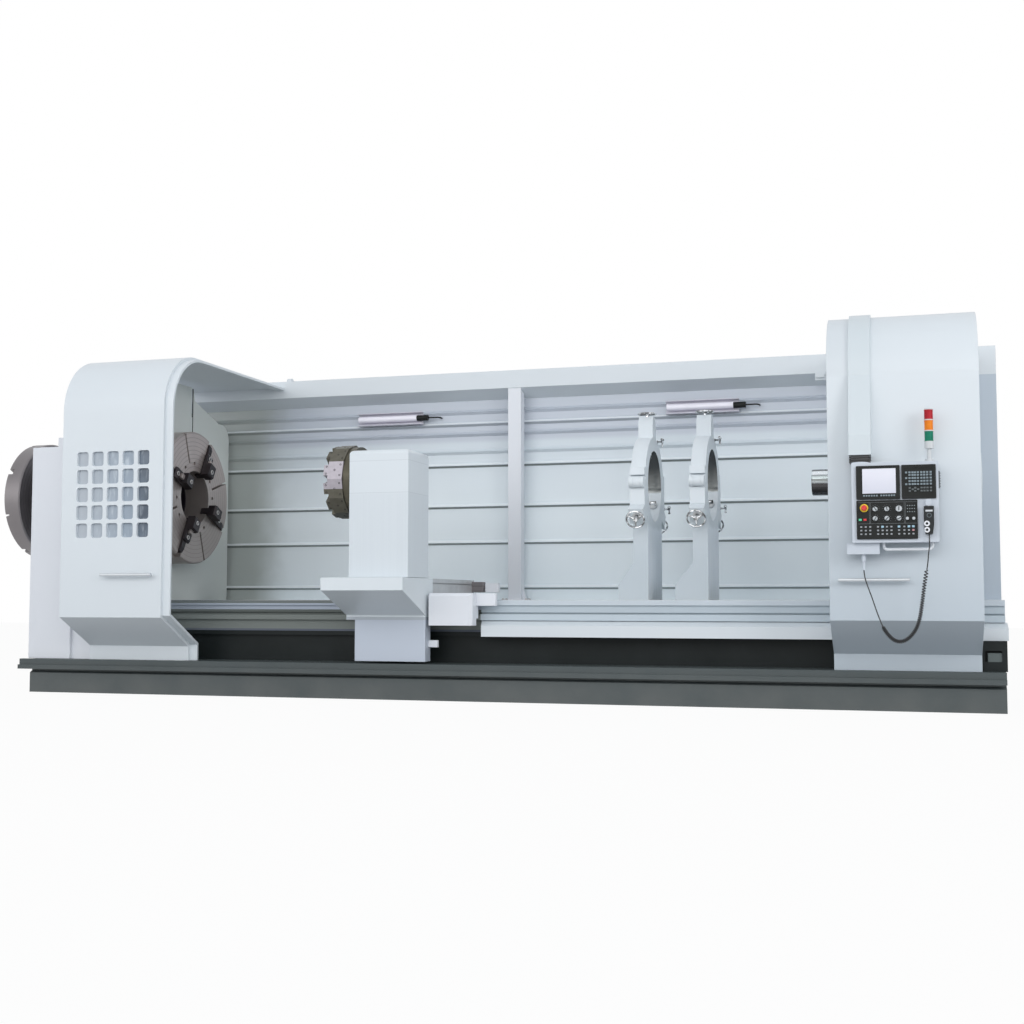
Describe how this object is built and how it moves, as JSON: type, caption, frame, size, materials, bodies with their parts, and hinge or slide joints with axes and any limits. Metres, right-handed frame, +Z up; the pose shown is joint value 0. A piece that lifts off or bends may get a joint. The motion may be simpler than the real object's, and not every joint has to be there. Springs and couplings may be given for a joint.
{
  "type": "cnc turning lathe",
  "caption": "Long-bed turning lathe with sliding hoods, jaw chucks at both spindle ends, turret carriage, steady rests and a swivelling control panel.",
  "frame": {"origin": "middle of the base's underside, under the spindle axis", "axes": "+X along the spindle axis towards the tailstock, -Y towards the operator, +Z up"},
  "size_m": [8.673, 2.635, 2.9719],
  "materials": {
    "white_paint": "satin",
    "slate_paint": "satin",
    "bed_paint": "satin",
    "machined_steel": "turned",
    "dark_steel": "oiled",
    "chrome": "polished",
    "bar_steel": "satin",
    "smoked_pane": "clear",
    "lamp_glass": "frosted",
    "black_plastic": "matte",
    "grey_plastic": "matte",
    "red_plastic": "gloss",
    "lamp_plastic": "gloss",
    "black_rubber": "matte",
    "light_metal": "satin"
  },
  "bodies": {
    "machine": {"base": "slate_paint", "bed": "bed_paint", "front_way_guard": "white_paint", "headstock_casting": "white_paint", "headstock_end_cover": "white_paint", "rear_wall": "white_paint", "top_beam": "white_paint", "beam_post": "white_paint", "work_lights": "lamp_glass", "light_plugs": "black_plastic"},
    "spindle_line": {"spindle": "machined_steel", "front_chuck": "machined_steel", "rear_chuck": "machined_steel", "rear_jaws": "dark_steel"},
    "jaw_1": {"front_jaw_1": "dark_steel"},
    "jaw_2": {"front_jaw_2": "dark_steel"},
    "jaw_3": {"front_jaw_3": "dark_steel"},
    "jaw_4": {"front_jaw_4": "dark_steel"},
    "left_guard": {"left_hood": "white_paint", "left_hood_lip": "white_paint", "window_panes": "smoked_pane", "left_hood_handle": "bar_steel"},
    "right_guard": {"right_hood": "white_paint", "right_hood_handle": "bar_steel", "control_arm": "white_paint"},
    "control": {"control_box": "white_paint", "panel_units": "black_plastic", "selector_knobs": "grey_plastic", "signal_tower": "lamp_plastic", "panel_handle": "bar_steel", "pendant": "black_plastic", "cord_lead": "black_rubber", "cord_coil": "black_rubber"},
    "stop_button": {"emergency_stop": "red_plastic"},
    "carriage": {"saddle": "machined_steel", "chip_tray": "white_paint", "apron_shield": "white_paint", "drive_cover": "white_paint"},
    "cross": {"cross_slide": "machined_steel", "turret_tower": "white_paint", "turret_head": "white_paint"},
    "turret": {"turret_disc": "machined_steel"},
    "steady_1": {"steady_1_frame": "light_metal"},
    "steady_1_top": {"steady_1_cap": "light_metal"},
    "steady_1_arm_1": {"steady_1_quill_1": "machined_steel"},
    "steady_1_hand_1": {"steady_1_wheel_1": "chrome"},
    "steady_1_arm_2": {"steady_1_quill_2": "machined_steel"},
    "steady_1_hand_2": {"steady_1_wheel_2": "chrome"},
    "steady_1_arm_3": {"steady_1_quill_3": "machined_steel"},
    "steady_1_hand_3": {"steady_1_wheel_3": "chrome"},
    "steady_2": {"steady_2_frame": "light_metal"},
    "steady_2_top": {"steady_2_cap": "light_metal"},
    "steady_2_arm_1": {"steady_2_quill_1": "machined_steel"},
    "steady_2_hand_1": {"steady_2_wheel_1": "chrome"},
    "steady_2_arm_2": {"steady_2_quill_2": "machined_steel"},
    "steady_2_hand_2": {"steady_2_wheel_2": "chrome"},
    "steady_2_arm_3": {"steady_2_quill_3": "machined_steel"},
    "steady_2_hand_3": {"steady_2_wheel_3": "chrome"},
    "tailstock": {"tailstock_body": "white_paint"},
    "tail_quill": {"tailstock_quill": "machined_steel"}
  },
  "joints": [
    {"name": "spindle_spin", "type": "hinge", "parent": "machine", "child": "spindle_line", "pos_m": [-3.2, 0, 1.74], "axis": [1, 0, 0], "continuous": true},
    {"name": "jaw_1_slide", "type": "slide", "parent": "spindle_line", "child": "jaw_1", "axis": [0, 0.454, 0.891], "range_m": [-0.12, 0.035]},
    {"name": "jaw_2_slide", "type": "slide", "parent": "spindle_line", "child": "jaw_2", "axis": [0, -0.891, 0.454], "range_m": [-0.12, 0.035]},
    {"name": "jaw_3_slide", "type": "slide", "parent": "spindle_line", "child": "jaw_3", "axis": [0, -0.454, -0.891], "range_m": [-0.12, 0.035]},
    {"name": "jaw_4_slide", "type": "slide", "parent": "spindle_line", "child": "jaw_4", "axis": [0, 0.891, -0.454], "range_m": [-0.12, 0.035]},
    {"name": "left_guard_slide", "type": "slide", "parent": "machine", "child": "left_guard", "axis": [1, 0, 0], "range_m": [-0.3, 1.3]},
    {"name": "right_guard_slide", "type": "slide", "parent": "machine", "child": "right_guard", "axis": [1, 0, 0], "range_m": [-2.6, 0.1]},
    {"name": "control_swivel", "type": "hinge", "parent": "right_guard", "child": "control", "pos_m": [3.08, -1.255, 1.5], "axis": [0, 0, 1], "range_deg": [-90, 0]},
    {"name": "stop_push", "type": "slide", "parent": "control", "child": "stop_button", "axis": [0, 1, 0], "range_m": [0, 0.006], "stiffness_N_per_m": 500},
    {"name": "carriage_slide", "type": "slide", "parent": "machine", "child": "carriage", "axis": [1, 0, 0], "range_m": [-1.1, 1.05]},
    {"name": "cross_feed", "type": "slide", "parent": "carriage", "child": "cross", "axis": [0, 1, 0], "range_m": [-0.1, 0.25]},
    {"name": "turret_index", "type": "hinge", "parent": "cross", "child": "turret", "pos_m": [-1.071, -0.47, 1.8], "axis": [1, 0, 0], "continuous": true},
    {"name": "steady_1_slide", "type": "slide", "parent": "machine", "child": "steady_1", "axis": [1, 0, 0], "range_m": [-1, 0.15]},
    {"name": "steady_1_hinge", "type": "hinge", "parent": "steady_1", "child": "steady_1_top", "pos_m": [1.333, -0.46, 1.74], "axis": [1, 0, 0], "range_deg": [0, 95]},
    {"name": "steady_1_hand_1_turn", "type": "hinge", "parent": "steady_1_top", "child": "steady_1_hand_1", "pos_m": [1.333, 0, 2.344], "axis": [0, 0, -1], "range_deg": [-270, 2520]},
    {"name": "steady_1_arm_1_slide", "type": "slide", "parent": "steady_1_top", "child": "steady_1_arm_1", "axis": [0, 0, -1], "range_m": [-0.0151, 0.1401]},
    {"name": "steady_1_hand_2_turn", "type": "hinge", "parent": "steady_1", "child": "steady_1_hand_2", "pos_m": [1.333, -0.52308, 1.438], "axis": [0, 0.866, 0.5], "range_deg": [-270, 2520]},
    {"name": "steady_1_arm_2_slide", "type": "slide", "parent": "steady_1", "child": "steady_1_arm_2", "axis": [0, 0.866, 0.5], "range_m": [-0.0151, 0.1401]},
    {"name": "steady_1_hand_3_turn", "type": "hinge", "parent": "steady_1", "child": "steady_1_hand_3", "pos_m": [1.333, 0.52308, 1.438], "axis": [0, -0.866, 0.5], "range_deg": [-270, 2520]},
    {"name": "steady_1_arm_3_slide", "type": "slide", "parent": "steady_1", "child": "steady_1_arm_3", "axis": [0, -0.866, 0.5], "range_m": [-0.0151, 0.1401]},
    {"name": "steady_2_slide", "type": "slide", "parent": "machine", "child": "steady_2", "axis": [1, 0, 0], "range_m": [-0.15, 0.7]},
    {"name": "steady_2_hinge", "type": "hinge", "parent": "steady_2", "child": "steady_2_top", "pos_m": [1.813, -0.46, 1.74], "axis": [1, 0, 0], "range_deg": [0, 95]},
    {"name": "steady_2_hand_1_turn", "type": "hinge", "parent": "steady_2_top", "child": "steady_2_hand_1", "pos_m": [1.813, 0, 2.344], "axis": [0, 0, -1], "range_deg": [-270, 2520]},
    {"name": "steady_2_arm_1_slide", "type": "slide", "parent": "steady_2_top", "child": "steady_2_arm_1", "axis": [0, 0, -1], "range_m": [-0.0151, 0.1401]},
    {"name": "steady_2_hand_2_turn", "type": "hinge", "parent": "steady_2", "child": "steady_2_hand_2", "pos_m": [1.813, -0.52308, 1.438], "axis": [0, 0.866, 0.5], "range_deg": [-270, 2520]},
    {"name": "steady_2_arm_2_slide", "type": "slide", "parent": "steady_2", "child": "steady_2_arm_2", "axis": [0, 0.866, 0.5], "range_m": [-0.0151, 0.1401]},
    {"name": "steady_2_hand_3_turn", "type": "hinge", "parent": "steady_2", "child": "steady_2_hand_3", "pos_m": [1.813, 0.52308, 1.438], "axis": [0, -0.866, 0.5], "range_deg": [-270, 2520]},
    {"name": "steady_2_arm_3_slide", "type": "slide", "parent": "steady_2", "child": "steady_2_arm_3", "axis": [0, -0.866, 0.5], "range_m": [-0.0151, 0.1401]},
    {"name": "tailstock_slide", "type": "slide", "parent": "machine", "child": "tailstock", "axis": [1, 0, 0], "range_m": [-0.5, 0.1]},
    {"name": "tail_quill_slide", "type": "slide", "parent": "tailstock", "child": "tail_quill", "axis": [1, 0, 0], "range_m": [-0.25, 0.03]}
  ],
  "couplings": [
    {"joint": "steady_1_arm_1_slide", "follows": "steady_1_hand_1_turn", "m_per_rad": 0.0031831},
    {"joint": "steady_1_arm_2_slide", "follows": "steady_1_hand_2_turn", "m_per_rad": 0.0031831},
    {"joint": "steady_1_arm_3_slide", "follows": "steady_1_hand_3_turn", "m_per_rad": 0.0031831},
    {"joint": "steady_2_arm_1_slide", "follows": "steady_2_hand_1_turn", "m_per_rad": 0.0031831},
    {"joint": "steady_2_arm_2_slide", "follows": "steady_2_hand_2_turn", "m_per_rad": 0.0031831},
    {"joint": "steady_2_arm_3_slide", "follows": "steady_2_hand_3_turn", "m_per_rad": 0.0031831}
  ]
}
